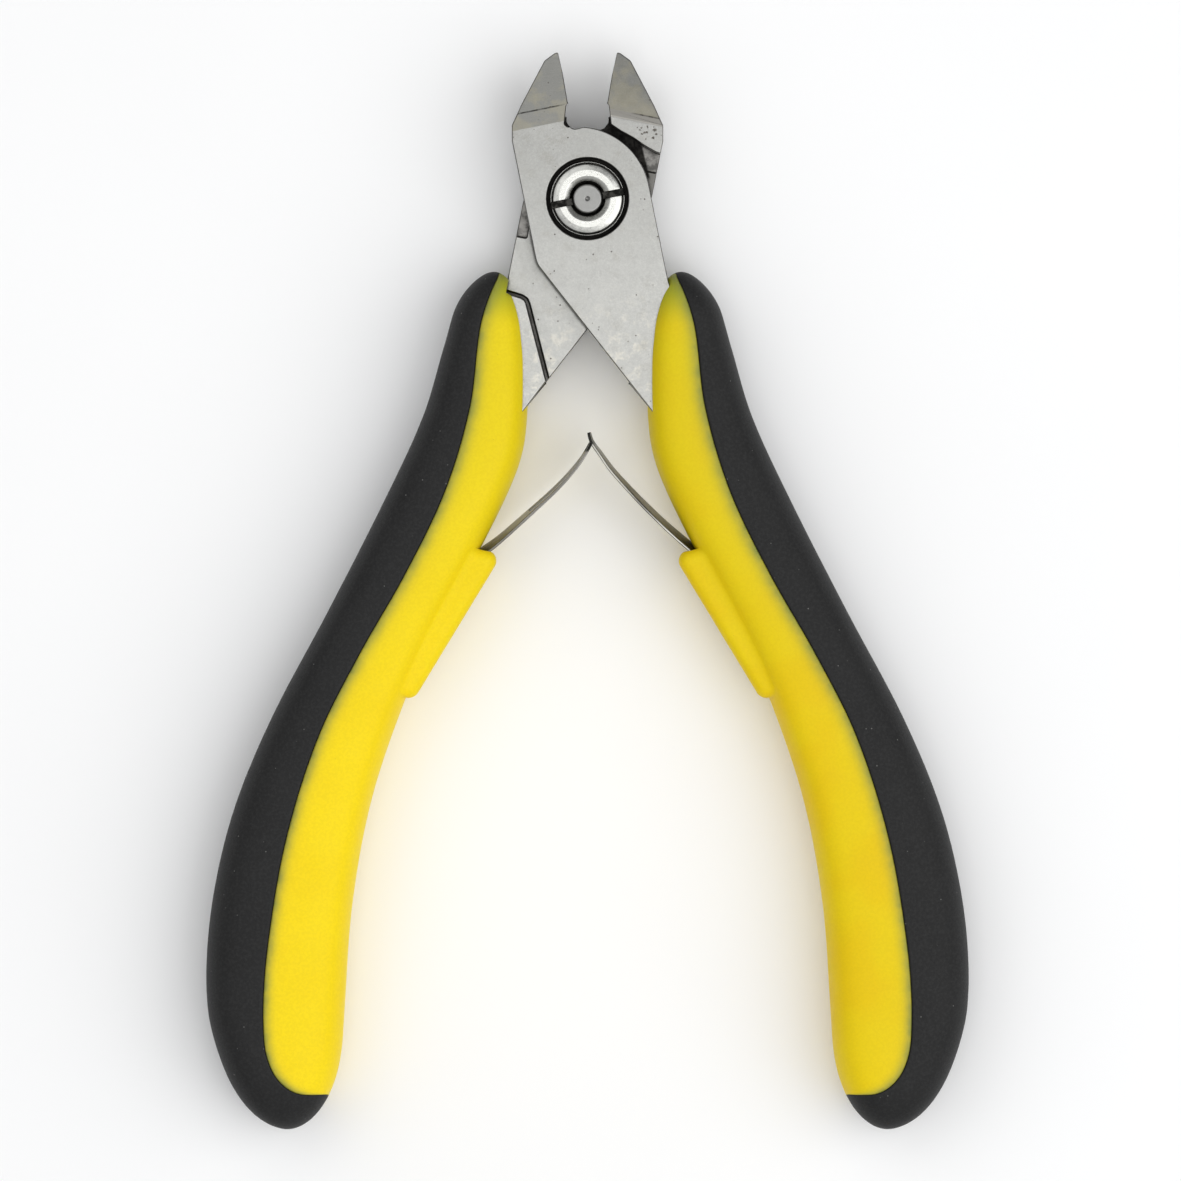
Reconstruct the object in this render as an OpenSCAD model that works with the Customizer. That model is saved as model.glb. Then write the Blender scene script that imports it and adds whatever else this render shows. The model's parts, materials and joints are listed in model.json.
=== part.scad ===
// Electronics flush cutter.
// Two steel halves share a lap joint on a screw with a slotted nut. Each tang
// carries a two-part moulded grip, a hard core under a soft cover, and each
// core holds one of the two interlocking leaf springs that push the grips
// apart. The jaws point along +Y, the pivot lies along Z, and the flats of
// the grips stand on z = 0. The origin is under the middle of the open tool.

/* [Pose] */
// How far the grips are squeezed together from rest, in degrees
closing = 0; // [0:0.1:21.6]

/* [Steel halves] */
// Thickness of the head, two laps together
head_t = 7; // [6:0.1:7.4]
// Width across the head of the closed tool
head_w = 14.3; // [14.3:0.1:15]
// Distance from the pivot to the tip of the jaws
jaw_reach = 17.05; // [16.6:0.05:18]
// Clearance between the two lap faces
lap_gap = 0.05; // [0.02:0.01:0.1]
// Thickness of the tang inside the grip
tang_t = 4.6; // [3.6:0.1:5.4]

/* [Pivot] */
// Diameter of the screw's shank
shank_d = 5; // [4.5:0.1:5.2]
// Clearance on the diameter of the bore that turns on the shank
running_fit = 0.06; // [0.03:0.01:0.1]
// Diameter of the counterbore that holds the nut
nut_seat_d = 9.35; // [9:0.05:9.6]
// Depth of the counterbore that holds the nut
nut_seat_depth = 1.7; // [1.5:0.05:1.9]
// Diameter of the slotted nut
nut_d = 8.45; // [8:0.05:8.7]
// Width of the slot across the nut
slot_w = 0.77; // [0.6:0.01:1]
// Diameter of the screw's head at the back
screw_head_d = 8.4; // [7.6:0.1:8.8]
// Diameter of the threaded stud
stud_d = 3.5; // [3.2:0.1:3.8]

/* [Grips] */
// Depth of the grips from face to face
grip_depth = 12; // [11:0.1:13]
// Thickness of the soft cover
cover_t = 2.2; // [1.6:0.1:2.6]
// Distance from the pivot to the end of a closed grip
grip_reach = 110.8; // [110:0.1:112]

/* [Leaf springs] */
// Thickness of a leaf
leaf_t = 0.75; // [0.5:0.05:0.8]
// Width of a leaf
leaf_w = 5; // [4.4:0.1:5.4]
// Length of a leaf inside its pocket
root_len = 13; // [9:0.5:14]

/* [Nodes] */

/* [Hidden] */

front = 1;                    // the half on top, with the left jaw and right grip
rear = -1;                    // its mirror image underneath
full_open = 22.8;             // angle between the centre lines of the halves at rest
travel = 21.6;                // closing that brings the tips of the jaws together
half_angle = (full_open - closing) / 2;
leaf_ratio = 0.8;             // a leaf swings in its mouth this much per degree of closing
leaf_turn = leaf_ratio * closing;
pivot_y = 44.68;              // puts the origin under the middle of the open tool
mid_z = 6;                    // plane of the lap joint
top_z = mid_z + head_t / 2;
bottom_z = mid_z - head_t / 2;
grip_mid = grip_depth / 2;
hw = head_w / 2;
steel = [0.72, 0.71, 0.67];
bright_steel = [0.86, 0.86, 0.82];
spring_steel = [0.5, 0.47, 0.42];
yellow = [0.98, 0.87, 0.13];
black = [0.19, 0.19, 0.2];

boss = [-1.12, 0.15];         // centre of the round end of a lap
boss_r = hw - boss[0];
screw_head_t = 1.4;
stud_end = top_z - 0.15;
nut_floor = top_z - nut_seat_depth;
washer_t = 0.28;
nut_top = top_z - 0.05;

// The outlines below are drawn for the front half of a closed tool, with the
// pivot at the origin. The rear half is their mirror image.

// Blank of one half, anticlockwise from the jaw: side, diagonal, tang, lap, throat.
jaw_lean = 1.35;              // slope of a cutting edge, so that the tips meet first
jaw_side = [[(jaw_reach - 11) * tan(jaw_lean), jaw_reach], [-0.4, jaw_reach - 0.05], [-1.7, jaw_reach - 0.65],
    [-5.35, 11.9], [-6.13, 10.8], [-6.8, 9.9], [-hw, 8.1]];
throat = [[1.08, 8.08], [0.17, 8.03], [-0.25, 8.27]];
jaw_root = [[-0.6, 9], [-0.44, 10.4], [-0.06, 11.05]];
heel = [-hw, -5.5];           // where the side of the head turns onto the diagonal
diagonal_foot = [2.3, -24.96];
tang_inside = [[4.4, -29.5], [6.7, -41], [11, -55], [15.2, -70], [16.3, -75.5], [17.5, -75.5],
    [18, -71], [14.8, -54], [10.9, -40], [9.4, -28], [7.7, -16]];
shoulder = [hw, -11];         // right side of the tang, just above the grip
// Top edge of the step down from the tang to the lap, and the way from it to the lap.
step = [[hw + 0.14, -12.4], [5.2, -12.6], [4.75, -12.78], [4.52, -13.13], [0.54, -21.33],
    [0.1, -22.24]];
step_side = [[0, 1], [-0.15, 1], [-0.6, 0.85], [-0.95, 0.45], [-0.9, 0.43], [-0.9, 0.43]];
// Notch filed into the root of the jaw, seen from above.
root_notch = [[0.5, 11.05], [-0.06, 11.05], [-0.26, 10.95], [-0.82, 9.2], [-0.95, 8.8], [-0.6, 8.4],
    [0.5, 8.4]];
jaw_foot = [[-hw, 6.65], [-6.5, 6.75], [-5.15, 7.2], [-3.8, 7.8], [-2.2, 8.3], [-0.95, 8.8]];
tang_full_to = -26.5;         // the tang is as thick as the head down to here

// Each curve gives x at y by stations [y, x], from the jaws to the end of the grip.
outer_curve = [[-8, 11.2], [-14, 12.25], [-20, 12.75], [-28, 13.5], [-38, 15.85], [-52, 19.75],
    [-65, 23.6], [-76, 25.75], [-86, 26.15], [-95, 25.2], [-104, 22.9], [-112, 21.6]];
inner_curve = [[-8, 5.5], [-14, 4.6], [-20, 2.9], [-28, 1.6], [-33, 1.95], [-42, 4.25],
    [-52, 7.3], [-60, 9.1], [-72, 10.6], [-84, 10.4], [-96, 8.9], [-104, 7.8], [-112, 7]];
split_curve = [[-9, 7.7], [-13, 8.75], [-17, 9.1], [-26, 8.45], [-36, 9.35], [-46, 11.9],
    [-56, 15.2], [-66, 17.9], [-78, 19.2], [-90, 18.9], [-99, 17.6], [-103, 16.2]];
window_top = -9;
window_end = -101;
window_corner = [[15.7, -104], [14.6, -105.3], [12.6, -106.2], [10.3, -106.5], [8.3, -105.8],
    [2, -103.6]];
depth_curve = [[-10, 5], [-18, 5.6], [-30, 6.15], [-50, 6.4], [-90, 6.5], [-112, 6.2]];

// Spring pocket and leaf, in the frame of the closed grip.
mouth = [3.78, -41.7];
pocket_tilt = 19.5;           // angle between the pocket and the Y axis
// Centre line of a leaf from its mouth to its tip, in the open tool.
leaf_line = [[11.96, -40.24], [10.1, -38.3], [7.99, -36.5], [5.81, -34.7], [3.63, -32.65],
    [1.9, -30.6], [0.85, -28.95], [0.25, -27.6], [-0.05, -26.55]];
fork_from = 3;                // the fork and the tongue start at this point of the line
fork_to = 7;                  // the fork ends here, the tongue runs on to the tip
tongue_w = 1.9;
fork_slot = 2.6;

/* ---- small helpers ---- */

// Cubic curve through stations [y, x], y falling, read at y.
function slope(p, i) =
    let (a = p[max(i - 1, 0)], b = p[min(i + 1, len(p) - 1)])
    (b[1] - a[1]) / (b[0] - a[0]);

function curve_at(p, y, i = 0) =
    y < p[i + 1][0] && i < len(p) - 2 ? curve_at(p, y, i + 1) :
    let (h = p[i + 1][0] - p[i][0], t = (y - p[i][0]) / h)
    p[i][1] * (2 * pow(t, 3) - 3 * pow(t, 2) + 1) + p[i + 1][1] * (3 * pow(t, 2) - 2 * pow(t, 3))
    + h * slope(p, i) * (pow(t, 3) - 2 * pow(t, 2) + t)
    + h * slope(p, i + 1) * (pow(t, 3) - pow(t, 2));

function arc(centre, r, from, to, steps) =
    [for (k = [0 : steps]) let (a = from + (to - from) * k / steps)
        centre + r * [cos(a), sin(a)]];

// Puts what is drawn for the closed front half where its half stands.
module placed(side) {
    translate([0, pivot_y, 0])
        rotate([0, 0, side * half_angle])
            mirror([side == rear ? 1 : 0, 0, 0])
                children();
}

module slab(from, to) {
    translate([0, 0, from])
        linear_extrude(to - from)
            children();
}

module disc(d, from, to) {
    translate([0, 0, from])
        cylinder(d = d, h = to - from, $fn = 96);
}

/* ---- steel halves ---- */

// Everything that lies in a lap: jaw, round boss, waist and tang.
module lap_outline() {
    polygon(concat(jaw_side, [heel], arc(heel + [2.6, 0], 2.6, 190, 206, 3),
        [diagonal_foot], tang_inside, [shoulder, [hw, 0]],
        arc(boss, boss_r, 2, 74, 24), throat, jaw_root));
}

module jaw_block() {
    polygon(concat(jaw_side, jaw_foot, jaw_root));
}

module tang_block() {
    polygon(concat([for (i = [0 : 4]) step[i]], [diagonal_foot], tang_inside));
}

// Thins the tang where the grip covers it.
module tang_waist() {
    for (z = [top_z - (head_t - tang_t) / 2, bottom_z - 1])
        slab(z, z + (head_t - tang_t) / 2 + 1)
            translate([0, -80])
                square([30, 80 + tang_full_to]);
}

// Ground faces of one jaw: the step and flush face in front, the taper behind,
// and the bevel that runs back from the cutting edge.
module jaw_grinding(side) {
    step_y = side == front ? [9.2, 11.05] : [9.75, 10.55];
    front_face = [[step_y[0], top_z], [step_y[1], top_z - 0.45], [jaw_reach, top_z - 1.1],
        [jaw_reach + 1, top_z - 1.2], [jaw_reach + 1, top_z + 1], [step_y[0], top_z + 1]];
    back_face = [[8.6, bottom_z], [jaw_reach + 1, bottom_z + 2.6],
        [jaw_reach + 1, bottom_z - 1], [8.6, bottom_z - 1]];
    for (profile = [front_face, back_face])
        rotate([90, 0, -90])
            mirror([1, 0, 0])
                translate([0, 0, -2])
                    linear_extrude(12)
                        polygon(profile);
    bevel = [[0, top_z - 0.9], [2, top_z - 0.9], [2, bottom_z - 1], [-3.1, bottom_z - 1]];
    translate([0, 11, 0])
        rotate([90, 0, -jaw_lean])
            translate([0, 0, -7])
                linear_extrude(8.4)
                    polygon(bevel);
    slab(top_z - 2.2, top_z + 1)
        polygon(root_notch);
}

// Shallow hollows in the lap face: under the foot of the jaw, beside the boss,
// and the relief groove along the foot of the step.
module lap_hollows(side) {
    lap_z = mid_z + side * lap_gap / 2;
    depth = 0.4;
    groove_w = 0.42;
    slab(lap_z - depth, lap_z + depth) {
        polygon(concat([[-hw - 1, 4.45], [-5, 4.45], jaw_foot[3], jaw_foot[2], jaw_foot[1],
            jaw_foot[0]], [[-hw - 1, jaw_foot[0][1]]]));
        translate([5.9, -5.75])
            square([2, 4.1]);
        polygon(concat(step, [for (i = [len(step) - 1 : -1 : 0])
            step[i] + groove_w * step_side[i]]));
    }
}

module steel_half(side) {
    lap_from = side == front ? mid_z + lap_gap / 2 : bottom_z;
    lap_to = side == front ? top_z : mid_z - lap_gap / 2;
    color(steel)
        placed(side)
            difference() {
                union() {
                    difference() {
                        slab(lap_from, lap_to)
                            lap_outline();
                        lap_hollows(side);
                    }
                    slab(bottom_z, top_z)
                        jaw_block();
                    slab(bottom_z, top_z)
                        tang_block();
                }
                jaw_grinding(side);
                tang_waist();
                if (side == front) {
                    disc(shank_d + running_fit, bottom_z - 1, top_z + 1);
                    disc(nut_seat_d, nut_floor, top_z + 1);
                } else {
                    disc(shank_d, bottom_z - 1, top_z + 1);
                    disc(screw_head_d + 0.1, bottom_z - 1, bottom_z + screw_head_t);
                }
            }
}

module front_half() {
    steel_half(front);
}

module rear_half() {
    steel_half(rear);
}

/* ---- pivot, which turns with the rear half ---- */

module at_pivot() {
    translate([0, pivot_y, 0])
        children();
}

module pivot_screw() {
    thread_relief = 0.5;
    color(steel)
        at_pivot()
            rotate_extrude($fn = 96)
                polygon([[0, bottom_z], [screw_head_d / 2 - 0.25, bottom_z],
                    [screw_head_d / 2, bottom_z + 0.25],
                    [screw_head_d / 2, bottom_z + screw_head_t],
                    [shank_d / 2, bottom_z + screw_head_t], [shank_d / 2, nut_floor],
                    [stud_d / 2, nut_floor], [stud_d / 2, stud_end - thread_relief],
                    [1.6, stud_end - thread_relief + 0.1], [1.6, stud_end - 0.1],
                    [1.5, stud_end], [0.3, stud_end], [0, stud_end - 0.3]]);
}

module pivot_washer() {
    gap = 0.02;
    color(spring_steel)
        at_pivot()
            difference() {
                disc(nut_d - 0.1, nut_floor + gap, nut_floor + gap + washer_t);
                disc(stud_d + 0.1, nut_floor - 1, top_z);
            }
}

module pivot_nut() {
    seat = nut_floor + 0.02 + washer_t;
    rim = nut_d / 2;
    slot_depth = 0.85;
    slot_angle = 11;
    color(bright_steel)
        at_pivot()
            difference() {
                rotate_extrude($fn = 96)
                    polygon([[stud_d / 2, seat], [rim, seat], [rim, nut_top - 0.4],
                        [rim - 0.08, nut_top - 0.32], [rim - 0.12, nut_top - 0.7],
                        [rim - 0.28, nut_top - 0.7], [rim - 0.32, nut_top - 0.22],
                        [rim - 0.95, nut_top], [2.6, nut_top], [2.1, nut_top - 0.4],
                        [1.95, nut_top - 0.6], [stud_d / 2, nut_top - 0.7]]);
                rotate([0, 0, slot_angle])
                    translate([-nut_d, -slot_w / 2, nut_top - slot_depth])
                        cube([2 * nut_d, slot_w, 2]);
            }
}

/* ---- grips ---- */

top_y = -10.2;
top_cap = 6;
end_cap = 12.2;
nose = [8.5, 13.2];           // x of the grip's two ends
sides = 28;
bulge = 2.5;                  // exponent of the rounded section

// 1 along the body of the grip, falling to 0 at a rounded end.
function cap(y, inset) =
    let (a = max((y - top_y + top_cap + inset) / top_cap, 0),
         b = max((-grip_reach + end_cap + inset - y) / end_cap, 0))
    sqrt(max(1 - pow(max(a, b), 2), 0.001));

// One ring of the grip at y, with the outer side, the inner side and the two
// faces each drawn in by their own amount.
function ring(y, outer_in, inner_in, face_in) =
    let (k = cap(y, outer_in), end_x = y > -60 ? nose[0] : nose[1],
         outer = end_x + (curve_at(outer_curve, y) - outer_in - end_x) * k,
         inner = end_x + (curve_at(inner_curve, y) + inner_in - end_x) * k,
         face = (curve_at(depth_curve, y) - face_in) * pow(k, 0.7))
    [for (n = [0 : sides - 1])
        let (a = 360 * n / sides, c = cos(a), s = sin(a))
        [(outer + inner) / 2 + (outer - inner) / 2 * sign(c) * pow(abs(c), 2 / bulge), y,
         grip_mid + min(max(face * sign(s) * pow(abs(s), 2 / bulge),
             face_in - grip_mid), grip_mid - face_in)]];

// The stations along the grip crowd together where the ends round off.
function station(t, from, to) = from + (to - from) * (t - 0.09 * sin(360 * t) * (1 - 0.3 * t));

module grip_body(outer_in = 0, inner_in = 0, face_in = 0, rings = 44) {
    from = top_y - outer_in - 0.02;
    to = -grip_reach + outer_in + 0.02;
    points = [for (r = [0 : rings]) each ring(station(r / rings, from, to),
        outer_in, inner_in, face_in)];
    walls = [for (r = [0 : rings - 1], n = [0 : sides - 1])
        let (a = r * sides + n, b = r * sides + (n + 1) % sides)
        each [[a, a + sides, b], [b, a + sides, b + sides]]];
    caps = [[for (n = [0 : sides - 1]) n], [for (n = [sides - 1 : -1 : 0]) rings * sides + n]];
    polyhedron(points = points, faces = concat(walls, caps), convexity = 8);
}

// Where the hard core shows between the two lips of the cover.
module window() {
    edge = [for (y = [window_top : -3 : window_end]) [curve_at(split_curve, y), y]];
    slab(-1, grip_depth + 1)
        polygon(concat([[-6, window_top]], edge, window_corner, [[-6, -103.6]]));
}

// Rounded rib on the inner side of the core, round the pocket of the leaf.
module pocket_boss() {
    r = 1.25;
    half_w = 3.8;
    top = mouth + [-0.51, -1.04];
    end = mouth + [5.21, -16.86];
    into_grip = 4.5;
    hull()
        for (z = [r - half_w, half_w - r])
            for (corner = [top, top + [into_grip, 0], end, end + [into_grip, 0]])
                translate([corner[0], corner[1], mid_z + z])
                    sphere(r, $fn = 20);
}

// The straight part of a leaf, down its pocket from short of the mouth.
module leaf_root(stop) {
    translate([mouth[0], mouth[1], mid_z - leaf_w / 2])
        rotate([0, 0, pocket_tilt])
            translate([-leaf_t / 2, -root_len, 0])
                cube([leaf_t, root_len - stop, leaf_w]);
}

// Flared mouth of the pocket, wide enough for the leaf at rest and squeezed.
module pocket_mouth() {
    room = 0.25;
    at_rest = 34.4;
    squeezed = at_rest - leaf_ratio * travel;
    slab(mid_z - leaf_w / 2 - room, mid_z + leaf_w / 2 + room)
        translate(mouth)
            for (bend = [at_rest, squeezed])
                rotate(bend)
                    translate([-leaf_t / 2 - room, -leaf_t])
                        square([leaf_t + 2 * room, 5]);
}

// What a grip leaves free for the steel that it is moulded onto.
module tang_room() {
    difference() {
        slab(bottom_z, top_z)
            lap_outline();
        tang_waist();
    }
}

module grip_core(side) {
    color(yellow)
        placed(side)
            difference() {
                union() {
                    grip_body(cover_t, 1.2, cover_t, 36);
                    intersection() {
                        grip_body();
                        window();
                    }
                    pocket_boss();
                }
                tang_room();
                leaf_root(-1);
                pocket_mouth();
            }
}

module grip_cover(side) {
    color(black)
        placed(side)
            difference() {
                grip_body();
                grip_body(cover_t, 1.2, cover_t, 36);
                window();
                tang_room();
            }
}

module right_grip_core() {
    grip_core(front);
}

module right_grip_cover() {
    grip_cover(front);
}

module left_grip_core() {
    grip_core(rear);
}

module left_grip_cover() {
    grip_cover(rear);
}

/* ---- leaf springs ---- */

module spring_root(side) {
    color(spring_steel)
        placed(side)
            leaf_root(leaf_t / 2 + 0.01);
}

// Direction square to the leaf's line at point i.
function leaf_normal(i) =
    let (n = len(leaf_line) - 1, d = leaf_line[min(i + 1, n)] - leaf_line[max(i - 1, 0)])
    [-d[1], d[0]] / norm(d);

// Outline of the leaf's edge from point a to point b of its line.
module leaf_edge(a, b) {
    polygon(concat([for (i = [a : b]) leaf_line[i] + leaf_normal(i) * leaf_t / 2],
        [for (i = [b : -1 : a]) leaf_line[i] - leaf_normal(i) * leaf_t / 2]));
}

// A leaf swings about the mouth of its pocket as the grips close.
module spring_blade(side) {
    tip = len(leaf_line) - 1;
    color(spring_steel)
        placed(side)
            translate(mouth)
                rotate([0, 0, -leaf_turn - full_open / 2])
                    translate(-leaf_line[0])
                        union() {
                            slab(mid_z - leaf_w / 2, mid_z + leaf_w / 2) {
                                leaf_edge(0, fork_from);
                                translate(leaf_line[0])
                                    circle(d = leaf_t, $fn = 32);
                            }
                            if (side == front)
                                slab(mid_z - tongue_w / 2, mid_z + tongue_w / 2)
                                    leaf_edge(fork_from, tip);
                            else
                                for (z = [mid_z - leaf_w / 2, mid_z + fork_slot / 2])
                                    slab(z, z + (leaf_w - fork_slot) / 2)
                                        leaf_edge(fork_from, fork_to);
                        }
}

module right_spring_root() {
    spring_root(front);
}

module right_spring_blade() {
    spring_blade(front);
}

module left_spring_root() {
    spring_root(rear);
}

module left_spring_blade() {
    spring_blade(rear);
}

front_half();
rear_half();
pivot_screw();
pivot_nut();
pivot_washer();
right_grip_core();
right_grip_cover();
left_grip_core();
left_grip_cover();
right_spring_root();
right_spring_blade();
left_spring_root();
left_spring_blade();
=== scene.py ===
"""Looks for the flush cutter: finely modelled grips and springs, worked steel, floor, light and camera."""

import json
import math

import bmesh
import bpy
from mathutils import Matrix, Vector


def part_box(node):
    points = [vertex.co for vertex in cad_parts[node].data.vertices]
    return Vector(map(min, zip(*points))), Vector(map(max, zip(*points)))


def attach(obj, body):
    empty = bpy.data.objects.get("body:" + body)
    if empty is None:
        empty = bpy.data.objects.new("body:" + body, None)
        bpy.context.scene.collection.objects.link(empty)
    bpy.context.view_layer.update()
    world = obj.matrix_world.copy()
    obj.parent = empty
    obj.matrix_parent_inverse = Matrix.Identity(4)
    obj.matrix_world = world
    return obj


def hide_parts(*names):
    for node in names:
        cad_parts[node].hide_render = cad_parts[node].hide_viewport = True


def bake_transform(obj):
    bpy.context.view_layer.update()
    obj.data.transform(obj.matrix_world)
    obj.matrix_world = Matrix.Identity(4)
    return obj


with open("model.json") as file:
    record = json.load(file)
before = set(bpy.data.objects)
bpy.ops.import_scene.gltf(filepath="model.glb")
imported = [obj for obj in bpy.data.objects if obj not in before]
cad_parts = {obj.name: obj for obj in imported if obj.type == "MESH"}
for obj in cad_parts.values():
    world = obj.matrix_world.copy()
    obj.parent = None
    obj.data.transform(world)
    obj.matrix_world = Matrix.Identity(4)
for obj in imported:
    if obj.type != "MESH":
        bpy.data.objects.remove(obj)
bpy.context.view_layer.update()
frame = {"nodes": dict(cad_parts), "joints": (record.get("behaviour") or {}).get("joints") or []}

MM = 0.001
HALF = 11.4  # how far each half stands from the middle, in degrees
FRONT, REAR = 1, -1
PIVOT = next(j for j in frame["joints"] if j["name"] == "pivot")["pos_m"]
PIVOT_X, PIVOT_Y = PIVOT[0] / MM, PIVOT[1] / MM
HEAD_T = 7.0
FACE_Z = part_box("front_half")[1].z / MM
MID_Z = FACE_Z - HEAD_T / 2
GRIP_MID = 6.0
SAME_POINT = 1e-7  # in metres
SIDES = {
    FRONT: {"hand": "right", "handle": "front_handle", "spring": "right_spring"},
    REAR: {"hand": "left", "handle": "rear_handle", "spring": "left_spring"},
}


# ---------------------------------------------------------------- geometry helpers

def placed(side, x, y, z):
    """A point drawn for the closed front half, in mm, put where its half stands open, in metres."""
    a = math.radians(side * HALF)
    x *= side
    return Vector((PIVOT_X + x * math.cos(a) - y * math.sin(a),
                   PIVOT_Y + x * math.sin(a) + y * math.cos(a), z)) * MM


def curve_at(stations, y):
    """Cubic curve through stations (y, x), y falling, read at y."""
    n = len(stations)

    def slope(i):
        (ya, xa), (yb, xb) = stations[max(i - 1, 0)], stations[min(i + 1, n - 1)]
        return (xb - xa) / (yb - ya)

    i = 0
    while i < n - 2 and y < stations[i + 1][0]:
        i += 1
    h = stations[i + 1][0] - stations[i][0]
    t = (y - stations[i][0]) / h
    return (stations[i][1] * (2 * t ** 3 - 3 * t ** 2 + 1)
            + stations[i + 1][1] * (3 * t ** 2 - 2 * t ** 3)
            + h * slope(i) * (t ** 3 - 2 * t ** 2 + t) + h * slope(i + 1) * (t ** 3 - t ** 2))


def smoothstep(a, b, x):
    t = min(max((x - a) / (b - a), 0), 1)
    return t * t * (3 - 2 * t)


def smooth_max(a, b, k):
    h = max(k - abs(a - b), 0) / k
    return max(a, b) + h * h * k / 4


def mesh_object(name, verts, faces, smooth=True):
    mesh = bpy.data.meshes.new(name)
    mesh.from_pydata([tuple(v) for v in verts], [], faces)
    mesh.update()
    mesh.polygons.foreach_set("use_smooth", [smooth] * len(mesh.polygons))
    obj = bpy.data.objects.new(name, mesh)
    bpy.context.scene.collection.objects.link(obj)
    return obj


def tidy_normals(obj):
    bm = bmesh.new()
    bm.from_mesh(obj.data)
    bmesh.ops.remove_doubles(bm, verts=bm.verts, dist=SAME_POINT)
    bmesh.ops.recalc_face_normals(bm, faces=bm.faces)
    bm.to_mesh(obj.data)
    bm.free()


# ---------------------------------------------------------------- shader helpers

class Shader:
    """A node tree built by short calls. Every call returns an output socket."""

    def __init__(self, name):
        self.material = bpy.data.materials.new(name)
        self.material.use_nodes = True
        self.tree = self.material.node_tree
        self.bsdf = self.tree.nodes["Principled BSDF"]
        coords = self.tree.nodes.new("ShaderNodeTexCoord")
        self.point = coords.outputs["Object"]
        self.normal_out = coords.outputs["Normal"]

    def put(self, socket, value):
        if isinstance(value, bpy.types.NodeSocket):
            self.tree.links.new(value, socket)
        elif value is not None:
            socket.default_value = value

    def set(self, **values):
        for key, value in values.items():
            self.put(self.bsdf.inputs[key.replace("_", " ")], value)

    def math(self, op, a, b=None, c=None, clamp=False):
        node = self.tree.nodes.new("ShaderNodeMath")
        node.operation = op
        node.use_clamp = clamp
        for socket, value in zip(node.inputs, (a, b, c)):
            self.put(socket, value)
        return node.outputs[0]

    def vec(self, op, a, b=None, scale=None):
        node = self.tree.nodes.new("ShaderNodeVectorMath")
        node.operation = op
        self.put(node.inputs[0], a)
        if b is not None:
            self.put(node.inputs[1], b)
        if scale is not None:
            self.put(node.inputs["Scale"], scale)
        return node.outputs["Value" if op in ("DOT_PRODUCT", "LENGTH", "DISTANCE") else 0]

    def split(self, v):
        node = self.tree.nodes.new("ShaderNodeSeparateXYZ")
        self.put(node.inputs[0], v)
        return node.outputs

    def noise(self, per_mm, detail=2, rough=0.5, stretch=None, seed=0):
        node = self.tree.nodes.new("ShaderNodeTexNoise")
        where = self.point
        if stretch:
            where = self.vec("MULTIPLY", where, stretch)
        if seed:
            where = self.vec("ADD", where, (seed * 0.37, seed * 0.61, seed * 0.23))
        self.put(node.inputs["Vector"], where)
        node.inputs["Scale"].default_value = per_mm / MM
        node.inputs["Detail"].default_value = detail
        node.inputs["Roughness"].default_value = rough
        return node.outputs["Fac"]

    def wobble(self, per_mm):
        """Random direction that changes slowly over the surface."""
        node = self.tree.nodes.new("ShaderNodeTexNoise")
        self.put(node.inputs["Vector"], self.point)
        node.inputs["Scale"].default_value = per_mm / MM
        return self.vec("SUBTRACT", node.outputs["Color"], (0.5, 0.5, 0.5))

    def cells(self, per_mm, point=None, seed=0):
        """Distance from the nearest of many scattered points."""
        node = self.tree.nodes.new("ShaderNodeTexVoronoi")
        where = point or self.point
        if seed:
            where = self.vec("ADD", where, (seed * 0.41, seed * 0.17, seed * 0.53))
        self.put(node.inputs["Vector"], where)
        node.inputs["Scale"].default_value = per_mm / MM
        return node.outputs["Distance"]

    def ramp(self, value, low, high, to_low=0.0, to_high=1.0):
        """Smooth step from to_low where value is low to to_high where it is high."""
        node = self.tree.nodes.new("ShaderNodeMapRange")
        node.interpolation_type = "SMOOTHSTEP"
        for key, v in (("Value", value), ("From Min", low), ("From Max", high),
                       ("To Min", to_low), ("To Max", to_high)):
            self.put(node.inputs[key], v)
        return node.outputs[0]

    def mix(self, fac, a, b):
        node = self.tree.nodes.new("ShaderNodeMix")
        node.data_type = "RGBA"
        self.put(node.inputs[0], fac)
        for socket, value in ((node.inputs[6], a), (node.inputs[7], b)):
            if isinstance(value, tuple):
                value = (*value, 1.0)
            self.put(socket, value)
        return node.outputs[2]

    def attribute(self, name):
        node = self.tree.nodes.new("ShaderNodeAttribute")
        node.attribute_name = name
        return node.outputs["Fac"]

    def crevice(self, reach_mm):
        """1 in corners and gaps, 0 on open faces."""
        node = self.tree.nodes.new("ShaderNodeAmbientOcclusion")
        node.samples = 8
        node.inputs["Distance"].default_value = reach_mm * MM
        return self.ramp(node.outputs["AO"], 0.86, 0.5)

    def bump(self, height, depth_mm, strength):
        node = self.tree.nodes.new("ShaderNodeBump")
        node.inputs["Strength"].default_value = strength
        node.inputs["Distance"].default_value = depth_mm * MM
        self.put(node.inputs["Height"], height)
        return node.outputs[0]


# ---------------------------------------------------------------- materials

def half_point(s, side):
    """Object point in the closed frame of one half, pivot at the origin, in mm."""
    a = math.radians(side * HALF)
    from_pivot = s.vec("SUBTRACT", s.point, (PIVOT[0], PIVOT[1], 0))
    x = s.vec("DOT_PRODUCT", from_pivot, (math.cos(a) * side / MM, math.sin(a) * side / MM, 0))
    y = s.vec("DOT_PRODUCT", from_pivot, (-math.sin(a) / MM, math.cos(a) / MM, 0))
    return x, y


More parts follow.
